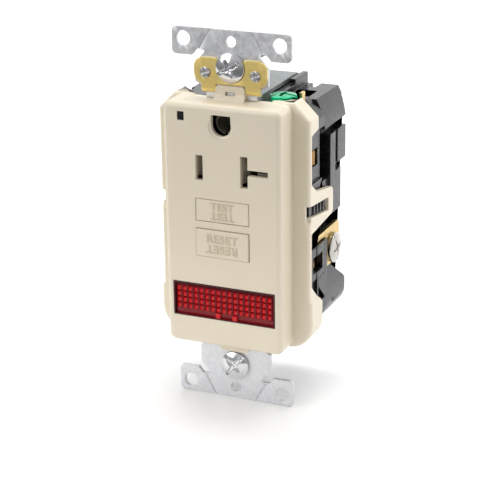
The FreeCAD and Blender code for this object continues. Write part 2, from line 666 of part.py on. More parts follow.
def wire_pits():
    """Stepped pits above the terminals, where the side wires pass."""
    cuts = side_pits(SPLIT_Y - 1, 17.1, 9.0, 23.4, 16.8)
    cuts += side_pits(17.0, 30, 20.9, 23.4, 17.6)
    cuts += side_pits(21.0, 22.6, 9.8, 21.5, 19.9)
    cuts += side_pits(22.6, 30, 10.0, 11.7, 18.5)
    cuts += side_pits(SPLIT_Y - 1, 17.1, -2.2, 9.3, 19.75)
    cuts += side_pits(SPLIT_Y - 1, SPLIT_Y + 2.2, -7.6, -1.6, 18.2)
    ramp = prism_xy([(20.6, 24.9), (20.6, 30), (15.5, 30), (16.6, BACK_Y)], -1.7, 10.0)
    return cuts + both_sides(ramp) + both_sides(rod((19.5, 19.2, -27.0), X, 2, 0.45))


def strap_channel():
    """Channel for the strap across the back, bevelled where the strap bends."""
    bevel = 0.7
    channel = [box(-CHANNEL_HALF, CHANNEL_HALF, CHANNEL_Y, 30, -40, 40)]
    corner = prism_yz([(CHANNEL_Y - bevel, 34), (CHANNEL_Y - bevel, BODY_HALF_H),
                       (CHANNEL_Y, BODY_HALF_H - bevel), (CHANNEL_Y, 34)], -CHANNEL_HALF, CHANNEL_HALF)
    return channel + [corner, mirror_z(corner)]


def rear_cover():
    """Black rear cover with corner blocks, side pits, terminal bays and the strap's channel."""
    cavity = box(-CAVITY_HALF_W, CAVITY_HALF_W, SPLIT_Y - 1, CAVITY_Y, -CAVITY_HALF_H, CAVITY_HALF_H)
    wall = box(POCKET_X0 - BODY_WALL, 15, SPLIT_Y - 1, POCKET_Y1 + BODY_WALL, POCKET_Z0 - BODY_WALL, 30)
    cuts = [cavity.cut(wall)]
    cuts.append(box(POCKET_X0, POCKET_X1, SPLIT_Y - 1, POCKET_Y1, POCKET_Z0, 34))
    cuts += both_sides(box(11.0, 13.0, 25.0, 30, 28.4, 34))
    for x, z in at_corners(CASE_SCREW_X, CASE_SCREW_Z):
        cuts.append(rod((x, 0, z), Y, 30, 1.6))
        cuts.append(rod((x, CASE_HEAD_Y, z), Y, 5, CASE_HEAD_R + 0.2))
    return rear_solid().cut(fuse(cuts + terminal_bays() + wire_pits() + strap_channel()))


def case_screws():
    """Four screws that hold the rear cover on the middle frame, put in from the back."""
    def screw(x, z):
        head = screw_head(CASE_HEAD_R, 1.8, 0.7).cut(drive_recess(1.8, 1.5, 0.6, 0.9, 0))
        shank = rod((0, 0, -19), Z, 19, 1.45)
        return placed(head.fuse(shank), (x, CASE_HEAD_Y + RUNNING_GAP, z), Y)
    return Part.makeCompound([screw(x, z) for x, z in at_corners(CASE_SCREW_X, CASE_SCREW_Z)])


# ---------------------------------------------------------------- contacts and terminals

def spring_leaf(side, reach, pinch, z0, z1):
    """Leaf on one side of a blade slot: straight, pinched in near its end and flared at the mouth."""
    inner = [(reach, FLOOR_Y - 0.5), (reach, -2.6), (reach - 1.1 + pinch, -4.7), (reach - 0.1, LEAF_Y)]
    outer = [(u + CONTACT_T, y) for u, y in reversed(inner)]
    return prism_xy([(SLOT_X + side * u, y) for u, y in inner + outer], z0, z1)


def blade_contact(height, pinch, far_leaf):
    """Female contact with two spring leaves, a foot and a bus down to the fixed contact."""
    t = CONTACT_T
    y0 = FLOOR_Y - t - 0.1
    y1 = FLOOR_Y - 0.1
    z0 = SLOT_Z - height / 2 + 0.7
    z1 = SLOT_Z + height / 2 + 0.6
    x0 = SLOT_X - 1.1 - t
    x1 = SLOT_X + far_leaf + t
    leaves = [spring_leaf(-1, 1.1, pinch, z0, z1), spring_leaf(1, far_leaf, pinch, z0, z1)]
    foot = box(x0, x1, y0, y1, z0, z1)
    bus = box(10.4, 13.4, y0, y1, RESET_Z - 2.0, z0 + 2)
    link = box(x0, 13.4, y0, y1, z0, z0 + 2)
    pad = rod((CONTACT_X, y1, RESET_Z), Y, 0.5, 1.5)
    return fuse(leaves + [foot, bus, link, pad])


def neutral_contact():
    """Contact of the T-shaped slot, with a third leaf that takes a turned blade."""
    contact = blade_contact(NEUTRAL_SLOT_H, -0.4, 7.4)
    return contact.fuse(box(8.6, 13.0, -4.5, 3.1, SLOT_Z - 1.5, SLOT_Z - 0.9))


def hot_contact():
    return mirror_x(blade_contact(HOT_SLOT_H, 0.2, 1.1))


def ground_contact():
    """Sleeve for the grounding pin on a foot that reaches up to the strap."""
    y0 = FLOOR_Y - CONTACT_T - 0.1
    sleeve = tube((0, -4.6, GROUND_Z), Y, y0 + 4.6, 3.05, 2.45)
    split = box(-0.4, 0.4, -4.7, 2.0, GROUND_Z - 4, GROUND_Z)
    foot = box(-5.5, 5.5, y0, y0 + CONTACT_T, 24.4, 30.2)
    tongue = box(-4.0, 4.0, y0, y0 + CONTACT_T, 30.2, WRAP_Z)
    foot = foot.cut(rod((0, 3.0, GROUND_Z), Y, 1, 2.0))
    return fuse([sleeve.cut(split), foot, tongue])


def load_bus():
    """Brass side bar whose folded lobes show in the windows of the middle frame."""
    x1 = 17.8
    bar = box(17.0, x1, 5.6, 10.8, -15.4, 19.4)
    lobes = []
    for z in (-12.5, 16.6):
        for y in (6.8, 9.4):
            lobe = rod((x1, y, z - 1.9), Z, 3.8, 1.1)
            lobes.append(lobe.common(box(x1, 20, 0, 20, z - 2, z + 2)))
    return fuse([bar] + lobes)


def line_terminal():
    """Brass terminal plate under the screw head, with its tongue and inward tail."""
    x0 = TERMINAL_PLATE_X - TERMINAL_PLATE_T
    x1 = TERMINAL_PLATE_X
    plate = box(x0, x1, 15.4, 26.2, TERMINAL_BOTTOM_Z, TERMINAL_TOP_Z)
    plate = round_edges(plate, 1.5, lambda p: p.y > 26, along=X)
    tongue = box(x0, x1, 9.6, 15.4, TERMINAL_TOP_Z - 1.6, TERMINAL_TOP_Z)
    tail = box(14.0, x0, 23.5, 24.7, TERMINAL_Z - 1.6, TERMINAL_Z + 1.6)
    hole = rod((x0, TERMINAL_Y, TERMINAL_Z), X, TERMINAL_PLATE_T, THREAD_R + RUNNING_GAP)
    return fuse([plate, tongue, tail]).cut(hole)


def clamp_plate():
    """Threaded plate behind the terminal plate that grips a wire put in from the back."""
    x0 = 17.0
    x1 = x0 + CLAMP_T
    plate = box(x0, x1, 16.0, 23.2, TERMINAL_BOTTOM_Z + 0.4, TERMINAL_TOP_Z - 0.7)
    teeth = [box(x1, x1 + 0.2, y, y + 0.5, TERMINAL_BOTTOM_Z + 0.8, TERMINAL_TOP_Z - 1.1)
             for y in (16.6, 18.0, 22.2)]
    hole = rod((x0, TERMINAL_Y, TERMINAL_Z), X, CLAMP_T + 0.3, THREAD_R + RUNNING_GAP)
    return fuse([plate] + teeth).cut(hole)


def terminal_screw():
    height = 1.9
    head = screw_head(4.2, height, 0.6).cut(drive_recess(height, height, 0.8, 1.1, 4.2))
    shank = rod((0, 0, -4.6), Z, 4.6, THREAD_R)
    origin = (TERMINAL_PLATE_X + RUNNING_GAP, TERMINAL_Y, TERMINAL_Z)
    return placed(head.fuse(shank), origin, X)


# ---------------------------------------------------------------- mechanism

def test_blade():
    """Leaf contact under the test button, with a rolled eye at its root."""
    z0 = TEST_Z - 1.5
    leaf = box(BLADE_PIN_X + 0.5, 2.0, -1.0, -0.6, z0, z0 + 3.0)
    eye = rod((BLADE_PIN_X, BLADE_PIN_Y, z0), Z, 3.0, 0.9)
    return leaf.fuse(eye).cut(rod((BLADE_PIN_X, BLADE_PIN_Y, z0), Z, 3.0, 0.55))


def test_pin():
    """Cross pin on two posts of the middle frame that carry the test blade."""
    pin = rod((BLADE_PIN_X, BLADE_PIN_Y, TEST_Z - 2.9), Z, 5.8, 0.5)
    posts = [box(BLADE_PIN_X - 0.6, BLADE_PIN_X + 0.6, BLADE_PIN_Y - 0.6, FLOOR_Y, z, z + 1.2)
             for z in (TEST_Z - 2.9, TEST_Z + 1.7)]
    return fuse([pin] + posts)


def contact_carrier():
    """Moulded carrier round the reset pin that holds both moving contacts."""
    depth = CARRIER_Y1 - CARRIER_Y0
    block = box(-6.0, 6.0, CARRIER_Y0, CARRIER_Y1, RESET_Z - 5.2, RESET_Z + 5.2)
    arms = both_sides(box(6.0, 9.0, CARRIER_Y0 + 0.4, CARRIER_Y1 - 0.4, RESET_Z - 1.8, RESET_Z + 1.8))
    cuts = both_sides(box(5.0, 9.0, 6.9, 6.9 + CONTACT_T, RESET_Z - 1.2, RESET_Z + 1.2))
    cuts.append(rod((0, CARRIER_Y0, RESET_Z), Y, depth, PIN_R + 0.4))
    cuts += [rod((0, CARRIER_Y0, RESET_Z + dz), Y, 2.2, 1.35)
             for dz in (-CARRIER_SPRING_DZ, CARRIER_SPRING_DZ)]
    return fuse([block] + arms).cut(fuse(cuts))


def moving_contacts():
    """Two brass arms with contact buttons, held in the carrier."""
    arm = box(5.0, 13.6, 6.9, 6.9 + CONTACT_T, RESET_Z - 1.2, RESET_Z + 1.2)
    tip = rod((CONTACT_X, 4.3, RESET_Z), Y, 2.6, 1.3)
    return Part.makeCompound(both_sides(arm.fuse(tip)))


def carrier_springs():
    """Two springs in the carrier's pockets that stand on the floor and push it open."""
    wire = 0.35
    start = FLOOR_BACK_Y + wire / 2 + 0.02
    length = CARRIER_Y0 + 2.2 - wire / 2 - 0.02 - start
    springs = [coil_spring((0, start, RESET_Z + dz), Y, length, 3, 1.0, wire)
               for dz in (-CARRIER_SPRING_DZ, CARRIER_SPRING_DZ)]
    return Part.makeCompound(springs)


def latch_plate():
    """Steel slide behind the carrier, with a slot round the neck of the reset pin and a heel."""
    z0 = SOLENOID_Z1 + PLUNGER_NOSE + 0.1
    plate = box(-2.8, 2.8, LATCH_Y, LATCH_Y + LATCH_T, z0, RESET_Z + 4.4)
    heel = box(-2.8, 2.8, LATCH_Y, LATCH_Y + 2.0, z0, z0 + LATCH_T)
    radius = PIN_R + 0.1
    slot = [rod((0, LATCH_Y, RESET_Z - dz), Y, LATCH_T, radius) for dz in (0, LATCH_TRAVEL)]
    slot.append(box(-radius, radius, LATCH_Y, LATCH_Y + LATCH_T, RESET_Z - LATCH_TRAVEL, RESET_Z))
    return plate.fuse(heel).cut(fuse(slot))


def solenoid_frame():
    """U-shaped steel yoke of the trip solenoid."""
    sheet = 1.0
    y0 = PLUNGER_Y - 3.7
    y1 = PLUNGER_Y + 4.9
    outer = box(-5.6, 5.6, y0, y1, SOLENOID_Z0 - sheet, SOLENOID_Z1 + sheet)
    inner = box(-6, 6, y0 - 1, y1 - sheet, SOLENOID_Z0, SOLENOID_Z1)
    hole = rod((0, PLUNGER_Y, SOLENOID_Z0 - 2), Z, 20, PLUNGER_R + 0.1)
    return outer.cut(inner).cut(hole)


def solenoid_bobbin():
    length = SOLENOID_Z1 - SOLENOID_Z0
    bore = PLUNGER_R + 0.05
    core = tube((0, PLUNGER_Y, SOLENOID_Z0), Z, length, 2.6, bore)
    ends = [tube((0, PLUNGER_Y, z), Z, 0.8, 3.6, bore) for z in (SOLENOID_Z0, SOLENOID_Z1 - 0.8)]
    return fuse([core] + ends)


def solenoid_coil():
    length = SOLENOID_Z1 - SOLENOID_Z0 - 1.6
    return tube((0, PLUNGER_Y, SOLENOID_Z0 + 0.8), Z, length, 3.5, 2.6)


def solenoid_plunger():
    """Steel plunger with a nose that reaches the latch plate's heel."""
    core = rod((0, PLUNGER_Y, SOLENOID_Z0 + 2.5), Z, SOLENOID_Z1 - SOLENOID_Z0 - 2.5, PLUNGER_R)
    nose = rod((0, PLUNGER_Y, SOLENOID_Z1), Z, PLUNGER_NOSE, 1.5)
    return core.fuse(nose)


def plunger_spring():
    return coil_spring((0, PLUNGER_Y, SOLENOID_Z0 + 0.15), Z, 2.1, 3, 1.4, 0.3)


# ---------------------------------------------------------------- electronics

def circuit_board():
    board = box(-13.2, 13.2, BOARD_Y, BOARD_BACK_Y, -29.2, 29.2)
    wire_hole = box(-3.0, 3.0, BOARD_Y, BOARD_BACK_Y, COIL_Z - 1.6, COIL_Z + 1.6)
    notch = box(POCKET_X0 - 2.0, 14, BOARD_Y, BOARD_BACK_Y, POCKET_Z0 - 2.0, 30)
    return board.cut(fuse([wire_hole, notch]))


def indicator_led():
    front = 10.4
    z = INDICATOR_Z - 1.4
    body = rod((INDICATOR_X, front, z), Y, BOARD_Y - front, 0.9)
    return body.fuse(Part.makeSphere(0.9, vec(INDICATOR_X, front, z)))


def coil_housing():
    """Plastic cup over the two sensing coils."""
    y0 = BOARD_BACK_Y
    cup = rod((0, y0, COIL_Z), Y, 8.6, 8.4).cut(rod((0, y0, COIL_Z), Y, 7.8, 7.6))
    cup = cup.cut(rod((0, y0, COIL_Z), Y, 9, 3.0))
    return cup.fuse(tube((0, y0, COIL_Z), Y, 8.6, 3.4, 3.0))


def sensing_coil(index):
    y0 = BOARD_BACK_Y + 0.1 + index * 3.8
    ring = tube((0, y0, COIL_Z), Y, 3.6, 7.5, 3.6)
    return ring.makeFillet(0.8, edges_at(ring, lambda p: True))


def line_busbar():
    """Conductor from a terminal's tail across the back and forward through the coils."""
    y1 = CAVITY_Y - 0.2
    across = box(1.0, 13.2, y1 - 0.7, y1, COIL_Z - 1.0, COIL_Z + 1.0)
    through = box(0.6, 1.6, BOARD_Y - 0.5, y1, COIL_Z - 1.0, COIL_Z + 1.0)
    return across.fuse(through).removeSplitter()


def control_chip():
    y0 = BOARD_BACK_Y
    body = box(-10.5, -1.5, y0 + 0.3, y0 + 2.6, 3.0, 9.4)
    legs = [box(-10.0 + 2.54 * k, -9.5 + 2.54 * k, y0, y0 + 1.2, z, z + 0.6)
            for k in range(4) for z in (2.4, 9.4)]
    return fuse([body] + legs)


def varistor():
    y0 = BOARD_BACK_Y
    disc = rod((7.0, y0 + 5.2, 6.0), Z, 2.6, 4.4)
    legs = [box(x, x + 0.6, y0, y0 + 3, 7.0, 7.6) for x in (4.6, 8.8)]
    return fuse([disc] + legs)


def capacitors():
    y0 = BOARD_BACK_Y
    sizes = ((-8.0, 22.0, 8.5, 3.2), (0.0, 23.0, 7.0, 2.5), (8.5, 20.5, 6.0, 2.6), (8.5, 15.0, 4.5, 2.0))
    return Part.makeCompound([rod((x, y0, z), Y, height, radius) for x, z, height, radius in sizes])


def resistors():
    y = BOARD_BACK_Y + 1.0
    bodies = [rod((x, y, 12.5), Z, 4.5, 0.95) for x in (-11.0, -8.4, -5.8, -3.2)]
    bodies += [rod((x, y, -26.5), Z, 4.0, 0.95) for x in (-9.0, -5.5, 5.5, 9.0)]
    return Part.makeCompound(bodies)


# ---------------------------------------------------------------- write the assembly

def assembly():
    """Every node's name and shape."""
    return {
        "front_cover": front_cover(),
        "middle_frame": fuse([middle_frame()] + both_sides(latch_blocks())),
        "rear_cover": rear_cover(),
        "mounting_strap": mounting_strap(),
        "ground_clip": ground_clip(),
        "clip_rivets": clip_rivets(),
        "box_screw_top": box_screw(BOX_SCREW_Z),
        "box_screw_bottom": box_screw(-BOX_SCREW_Z),
        "retainer_top": screw_retainer(BOX_SCREW_Z),
        "retainer_bottom": screw_retainer(-BOX_SCREW_Z),
        "ground_screw": ground_screw(),
        "ground_clamp": ground_clamp(),
        "test_button": test_button(),
        "reset_button": reset_button(),
        "reset_pin": reset_pin(),
        "reset_spring": reset_spring(),
        "pilot_lens": pilot_lens(),
        "pilot_board": pilot_board(),
        "pilot_lamps": pilot_lamps(),
        "indicator_window": indicator_window(),
        "indicator_led": indicator_led(),
        "hot_contact": hot_contact(),
        "neutral_contact": neutral_contact(),
        "ground_contact": ground_contact(),
        "neutral_load_bus": load_bus(),
        "hot_load_bus": mirror_x(load_bus()),
        "neutral_terminal": line_terminal(),
        "hot_terminal": mirror_x(line_terminal()),
        "neutral_clamp_plate": clamp_plate(),
        "hot_clamp_plate": mirror_x(clamp_plate()),
        "neutral_terminal_screw": terminal_screw(),
        "hot_terminal_screw": mirror_x(terminal_screw()),
        "case_screws": case_screws(),
        "test_blade": test_blade(),
        "test_pin": test_pin(),
        "contact_carrier": contact_carrier(),
        "moving_contacts": moving_contacts(),
        "carrier_springs": carrier_springs(),
        "latch_plate": latch_plate(),
        "solenoid_frame": solenoid_frame(),
        "solenoid_bobbin": solenoid_bobbin(),
        "solenoid_coil": solenoid_coil(),
        "solenoid_plunger": solenoid_plunger(),
        "plunger_spring": plunger_spring(),
        "circuit_board": circuit_board(),
        "coil_housing": coil_housing(),
        "sense_coil": sensing_coil(0),
        "neutral_coil": sensing_coil(1),
        "neutral_busbar": line_busbar(),
        "hot_busbar": mirror_x(line_busbar()),
        "control_chip": control_chip(),
        "varistor": varistor(),
        "capacitors": capacitors(),
        "resistors": resistors(),
    }


os.makedirs("parts", exist_ok=True)
for name, shape in assembly().items():
    shape.exportStep("parts/" + name + ".step")
    print(f"{name}: {len(shape.Solids)} solid(s), {shape.Volume:.1f} mm3, valid {shape.isValid()}")
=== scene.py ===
import json
import math
from collections import namedtuple

import bmesh
import bpy
from mathutils import Euler, Matrix, Vector
from mathutils.bvhtree import BVHTree


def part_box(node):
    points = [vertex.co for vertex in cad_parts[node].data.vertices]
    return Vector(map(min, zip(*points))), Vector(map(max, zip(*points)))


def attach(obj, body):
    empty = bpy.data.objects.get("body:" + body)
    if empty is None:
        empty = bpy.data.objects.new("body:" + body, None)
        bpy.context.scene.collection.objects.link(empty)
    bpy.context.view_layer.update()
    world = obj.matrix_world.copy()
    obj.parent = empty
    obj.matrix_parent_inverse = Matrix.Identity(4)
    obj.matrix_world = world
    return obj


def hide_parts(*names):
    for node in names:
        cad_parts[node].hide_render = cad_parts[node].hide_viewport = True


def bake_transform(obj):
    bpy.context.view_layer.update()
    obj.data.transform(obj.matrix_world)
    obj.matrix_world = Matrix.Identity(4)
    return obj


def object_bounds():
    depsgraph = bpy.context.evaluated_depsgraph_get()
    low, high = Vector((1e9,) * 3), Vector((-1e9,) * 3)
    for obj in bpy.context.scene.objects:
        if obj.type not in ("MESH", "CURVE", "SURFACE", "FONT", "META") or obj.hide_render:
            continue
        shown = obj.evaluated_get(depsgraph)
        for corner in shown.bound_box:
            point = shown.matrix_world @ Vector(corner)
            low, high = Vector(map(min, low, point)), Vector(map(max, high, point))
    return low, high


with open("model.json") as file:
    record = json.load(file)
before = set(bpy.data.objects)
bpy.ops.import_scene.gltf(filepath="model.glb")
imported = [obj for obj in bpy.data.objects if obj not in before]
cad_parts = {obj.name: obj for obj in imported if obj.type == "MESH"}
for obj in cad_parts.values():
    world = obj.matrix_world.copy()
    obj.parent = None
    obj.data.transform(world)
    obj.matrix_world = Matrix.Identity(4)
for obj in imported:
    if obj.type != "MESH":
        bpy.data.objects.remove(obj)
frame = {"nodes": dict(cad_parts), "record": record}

CAD_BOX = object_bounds()
NODES = frame["nodes"]
BODY_OF = {node: body for body, nodes in frame["record"]["behaviour"]["bodies"].items() for node in nodes}
MM = 0.001


# ---------------------------------------------------------------- camera, floor and lights

AZIMUTH = math.radians(23.861)
ELEVATION = math.radians(19.386)
ROLL = math.radians(-0.801)
CAMERA_DISTANCE = 441.15 * MM
CAMERA_RIGHT = 2.645 * MM
CAMERA_UP = -1.324 * MM
CAMERA_FORWARD = -1.2 * MM
LENS = 119.68
SENSOR_WIDTH = 36
SHIFT = (0.01320, -0.04850)

FLOOR_GAP = 0.05 * MM
FLOOR_HALF_WIDTH = 1.5
FLOOR_FRONT = -0.10
FLOOR_FLAT_END = 0.30
BACKDROP_RADIUS = 0.35
BACKDROP_HEIGHT = 2.0
BACKDROP_STEPS = 12


def camera_axes(azimuth, elevation, roll):
    """Right, up and backward directions of a camera that looks at the front from that angle."""
    back = Vector((math.sin(azimuth) * math.cos(elevation), -math.cos(azimuth) * math.cos(elevation),
                   math.sin(elevation)))
    right = Vector((math.cos(azimuth), math.sin(azimuth), 0))
    up = back.cross(right)
    c, s = math.cos(roll), math.sin(roll)
    return c * right + s * up, c * up - s * right, back


def add_camera():
    right, up, back = camera_axes(AZIMUTH, ELEVATION, ROLL)
    data = bpy.data.cameras.new("camera")
    data.sensor_width = SENSOR_WIDTH
    data.lens = LENS
    data.shift_x, data.shift_y = SHIFT
    data.clip_start = 0.01
    camera = bpy.data.objects.new("camera", data)
    bpy.context.scene.collection.objects.link(camera)
    place = CAMERA_RIGHT * right + CAMERA_UP * up + CAMERA_DISTANCE * back + Vector((0, CAMERA_FORWARD, 0))
    camera.matrix_world = Matrix.Translation(place) @ Matrix((right, up, back)).transposed().to_4x4()
    bpy.context.scene.camera = camera


def add_area_light(name, place, target, width, height, power, mirrored=True):
    data = bpy.data.lights.new(name, "AREA")
    data.shape = "RECTANGLE"
    data.size = width
    data.size_y = height
    data.energy = power
    light = bpy.data.objects.new(name, data)
    light.location = place
    light.rotation_euler = (Vector(target) - Vector(place)).to_track_quat("-Z", "Y").to_euler()
    light.visible_glossy = mirrored
    bpy.context.scene.collection.objects.link(light)


def add_lights():
    """Soft key from the front left, weaker fills from the right and above, and a wash for the backdrop."""
    middle = (0, 0, 0)
    add_area_light("key", (-0.60, -0.75, 0.45), middle, 0.6, 0.6, 4.2)
    add_area_light("right_box", (0.9, 0.15, 0.20), middle, 0.5, 0.8, 1.8, mirrored=False)
    add_area_light("top_box", (0.1, 0.1, 1.0), middle, 0.7, 0.7, 1.8, mirrored=False)
    add_area_light("backdrop_light", (0.0, 0.25, 0.9), (0.0, 0.75, 0.1), 1.2, 0.3, 6.0)


def add_world(above, below):
    """Bright room above the table and a dim one below it, with a soft step between."""
    world = bpy.data.worlds.new("studio")
    world.use_nodes = True
    nodes, links = world.node_tree.nodes, world.node_tree.links
    split = nodes.new("ShaderNodeSeparateXYZ")
    links.new(nodes.new("ShaderNodeTexCoord").outputs["Generated"], split.inputs[0])
    level = nodes.new("ShaderNodeMapRange")
    for socket, number in (("From Min", -0.25), ("From Max", 0.45), ("To Min", below), ("To Max", above)):
        level.inputs[socket].default_value = number
    links.new(split.outputs["Z"], level.inputs["Value"])
    links.new(level.outputs["Result"], nodes["Background"].inputs["Strength"])
    nodes["Background"].inputs["Color"].default_value = (1, 1, 1, 1)
    bpy.context.scene.world = world


def add_floor():
    """Pale floor just under the strap, curving up into a backdrop far behind."""
    low = CAD_BOX[0].z - FLOOR_GAP
    profile = [(FLOOR_FRONT, low), (FLOOR_FLAT_END, low)]
    for k in range(1, BACKDROP_STEPS + 1):
        turn = math.pi / 2 * k / BACKDROP_STEPS
        profile.append((FLOOR_FLAT_END + BACKDROP_RADIUS * math.sin(turn),
                        low + BACKDROP_RADIUS * (1 - math.cos(turn))))
    profile.append((FLOOR_FLAT_END + BACKDROP_RADIUS, low + BACKDROP_HEIGHT))
    bm = bmesh.new()
    rows = [[bm.verts.new((x, y, z)) for y, z in profile] for x in (-FLOOR_HALF_WIDTH, FLOOR_HALF_WIDTH)]
    for k in range(len(profile) - 1):
        bm.faces.new((rows[0][k], rows[1][k], rows[1][k + 1], rows[0][k + 1]))
    floor = object_from(bm, "floor")
    floor.data.materials.append(floor_finish())
    shade_smooth(floor)


# ---------------------------------------------------------------- finishes

RING_PITCH = 0.28 * MM


class Finish:
    """A material with one Principled shader, and short ways to add what feeds it."""

    def __init__(self, name, **sockets):
        self.material = bpy.data.materials.new(name)
        self.material.use_nodes = True
        self.nodes = self.material.node_tree.nodes
        self.links = self.material.node_tree.links
        self.shader = self.nodes["Principled BSDF"]
        for key, value in sockets.items():
            self.shader.inputs[key.replace("_", " ")].default_value = value
        self.place = self.nodes.new("ShaderNodeTexCoord").outputs["Object"]

    def join(self, output, node, socket):
        self.links.new(output, node.inputs[socket])

    def stretched(self, scale, location=(0, 0, 0)):
        """Object coordinates scaled along each axis, then moved."""
        node = self.nodes.new("ShaderNodeMapping")
        node.inputs["Scale"].default_value = scale
        node.inputs["Location"].default_value = location
        self.join(self.place, node, "Vector")
        return node.outputs["Vector"]

    def noise(self, scale, detail, roughness=0.5, source=None):
        node = self.nodes.new("ShaderNodeTexNoise")
        node.inputs["Scale"].default_value = scale
        node.inputs["Detail"].default_value = detail
        node.inputs["Roughness"].default_value = roughness
        self.join(source or self.place, node, "Vector")
        return node.outputs["Fac"]

    def along(self, axis):
        """Object coordinate along one axis."""
        split = self.nodes.new("ShaderNodeSeparateXYZ")
        self.join(self.place, split, 0)
        return split.outputs[axis]

    def arithmetic(self, operation, source, number=0.0):
        """Math node on source, with number as its second operand where it takes one."""
        node = self.nodes.new("ShaderNodeMath")
        node.operation = operation
        node.inputs[1].default_value = number
        self.join(source, node, 0)
        return node.outputs[0]

    def cells(self, scale, source=None):
        """Random value of each Voronoi cell."""
        node = self.nodes.new("ShaderNodeTexVoronoi")
        node.inputs["Scale"].default_value = scale
        self.join(source or self.place, node, "Vector")
        split = self.nodes.new("ShaderNodeSeparateColor")
        self.join(node.outputs["Color"], split, "Color")
        return split.outputs[0]

    def warped(self, scale, amount):
        """Object coordinates pushed about by noise, in metres."""
        noise = self.nodes.new("ShaderNodeTexNoise")
        noise.inputs["Scale"].default_value = scale
        self.join(self.place, noise, "Vector")
        shift = self.nodes.new("ShaderNodeVectorMath")
        shift.operation = "MULTIPLY_ADD"
        shift.inputs[1].default_value = (amount,) * 3
        self.join(noise.outputs["Color"], shift, 0)
        self.join(self.place, shift, 2)
        return shift.outputs[0]

    def spread(self, value, low, high, start=0.3, end=0.7):
        """Value taken from start..end to low..high."""
        node = self.nodes.new("ShaderNodeMapRange")
        for socket, number in (("From Min", start), ("From Max", end), ("To Min", low), ("To Max", high)):
            node.inputs[socket].default_value = number
        self.join(value, node, "Value")
        return node.outputs["Result"]

    def mixed(self, factor, first, second):
        node = self.nodes.new("ShaderNodeMix")
        node.data_type = "RGBA"
        self.join(factor, node, "Factor")
        for socket, colour in ((6, first), (7, second)):
            if isinstance(colour, tuple):
                node.inputs[socket].default_value = (*colour, 1)
            else:
                self.links.new(colour, node.inputs[socket])
        return node.outputs[2]

    def colour(self, output):
        self.join(output, self.shader, "Base Color")

    def roughness(self, output):
        self.join(output, self.shader, "Roughness")

    def bump(self, height, depth, strength):
        """Surface relief of up to depth, in metres. Several calls add up."""
        node = self.nodes.new("ShaderNodeBump")
        node.inputs["Distance"].default_value = depth
        node.inputs["Strength"].default_value = strength
        self.join(height, node, "Height")
        before = self.shader.inputs["Normal"]
        if before.is_linked:
            self.join(before.links[0].from_socket, node, "Normal")
        self.join(node.outputs["Normal"], self.shader, "Normal")


def shades(colour, spread):
    """A darker and a lighter version of a colour."""
    return tuple(c * (1 - spread) for c in colour), tuple(min(1, c * (1 + spread)) for c in colour)


def moulded(name, colour, roughness, spread=0.05, grain=2600, depth=0.01, strength=0.5, **sockets):
    """Moulded plastic: faint flow marks in its colour, and a mould grain of depth millimetres."""
    f = Finish(name, **sockets)
    dark, light = shades(colour, spread)
    f.colour(f.mixed(f.noise(90, 4), dark, light))
    f.roughness(f.spread(f.noise(500, 1), roughness * 0.96, roughness * 1.04, 0.1, 0.9))
    f.bump(f.noise(grain, 2), depth * MM, strength)
    return f.material


def galvanised(name):
    """Zinc-coated sheet with a spangle of crystals, darkened by painted shade where it is rolled back over
    the body.
    """
    f = Finish(name, Metallic=0.8)
    crystal = f.cells(1150, f.warped(900, 0.7 * MM))
    fine = f.noise(4200, 3)
    tone = f.mixed(f.spread(crystal, 0, 1, 0, 1), (0.72, 0.73, 0.75), (0.84, 0.85, 0.87))
    grained = f.mixed(f.spread(fine, 0, 0.45), tone, (0.58, 0.59, 0.61))
    # Painted shade: the colour darkens from 0.6 mm to 3 mm behind the front of the strap, over the
    # rolled-back part.
    painted_shade_behind_ears = f.spread(f.along("Y"), 0, 1, 0.6 * MM, 3.0 * MM)
    f.colour(f.mixed(painted_shade_behind_ears, grained, (0.27, 0.29, 0.29)))
    f.roughness(f.spread(crystal, 0.40, 0.55, 0, 1))
    f.bump(crystal, 0.006 * MM, 0.6)
    f.bump(fine, 0.006 * MM, 0.5)
    return f.material


def brushed(name, colour, roughness, along, spread, depth=0.004, metallic=1.0):
    """Rolled or stamped metal in a patchy satin, with lines of depth millimetres along one axis."""
    f = Finish(name, Metallic=metallic)
    stretch = [3800, 3800, 3800]
    stretch["XYZ".index(along)] = 260
    lines = f.noise(1.0, 3, 0.6, f.stretched(stretch))
    patches = f.noise(260, 3)
    dark, light = shades(colour, spread)
    f.colour(f.mixed(patches, dark, light))
    f.roughness(f.spread(lines, roughness * 0.92, roughness * 1.08))
    f.bump(lines, depth * MM, 0.6)
    return f.material


def turned(name, colour, roughness, centre, axis):
    """Plated screw metal with faint rings round its own axis."""
    f = Finish(name, Metallic=1.0)
    scale = [1.0, 1.0, 1.0]
    scale["XYZ".index(axis)] = 0.0
    offset = [-c * s for c, s in zip(centre, scale)]
    radius = f.nodes.new("ShaderNodeVectorMath")
    radius.operation = "LENGTH"
    f.join(f.stretched(scale, offset), radius, 0)
    turns = f.arithmetic("MULTIPLY", radius.outputs["Value"], 2 * math.pi / RING_PITCH)
    cloud = f.noise(700, 3)
    dark, light = shades(colour, 0.10)
    f.colour(f.mixed(cloud, dark, light))
    f.roughness(f.spread(cloud, roughness * 0.7, roughness * 1.4))
    f.bump(f.arithmetic("SINE", turns), 0.002 * MM, 0.5)
    return f.material


def green_plating():
    """Glossy green plating of the grounding screw."""
    f = Finish("green_plating", Metallic=1.0, Coat_Weight=0.2, Coat_Roughness=0.05)
    f.colour(f.mixed(f.noise(600, 3), (0.002, 0.26, 0.11), (0.010, 0.50, 0.24)))
    f.roughness(f.spread(f.noise(900, 2), 0.14, 0.26))
    return f.material


def floor_finish():
    f = Finish("floor", Roughness=0.35)
    f.colour(f.mixed(f.noise(6, 2), (0.955, 0.955, 0.955), (0.97, 0.97, 0.97)))
    return f.material


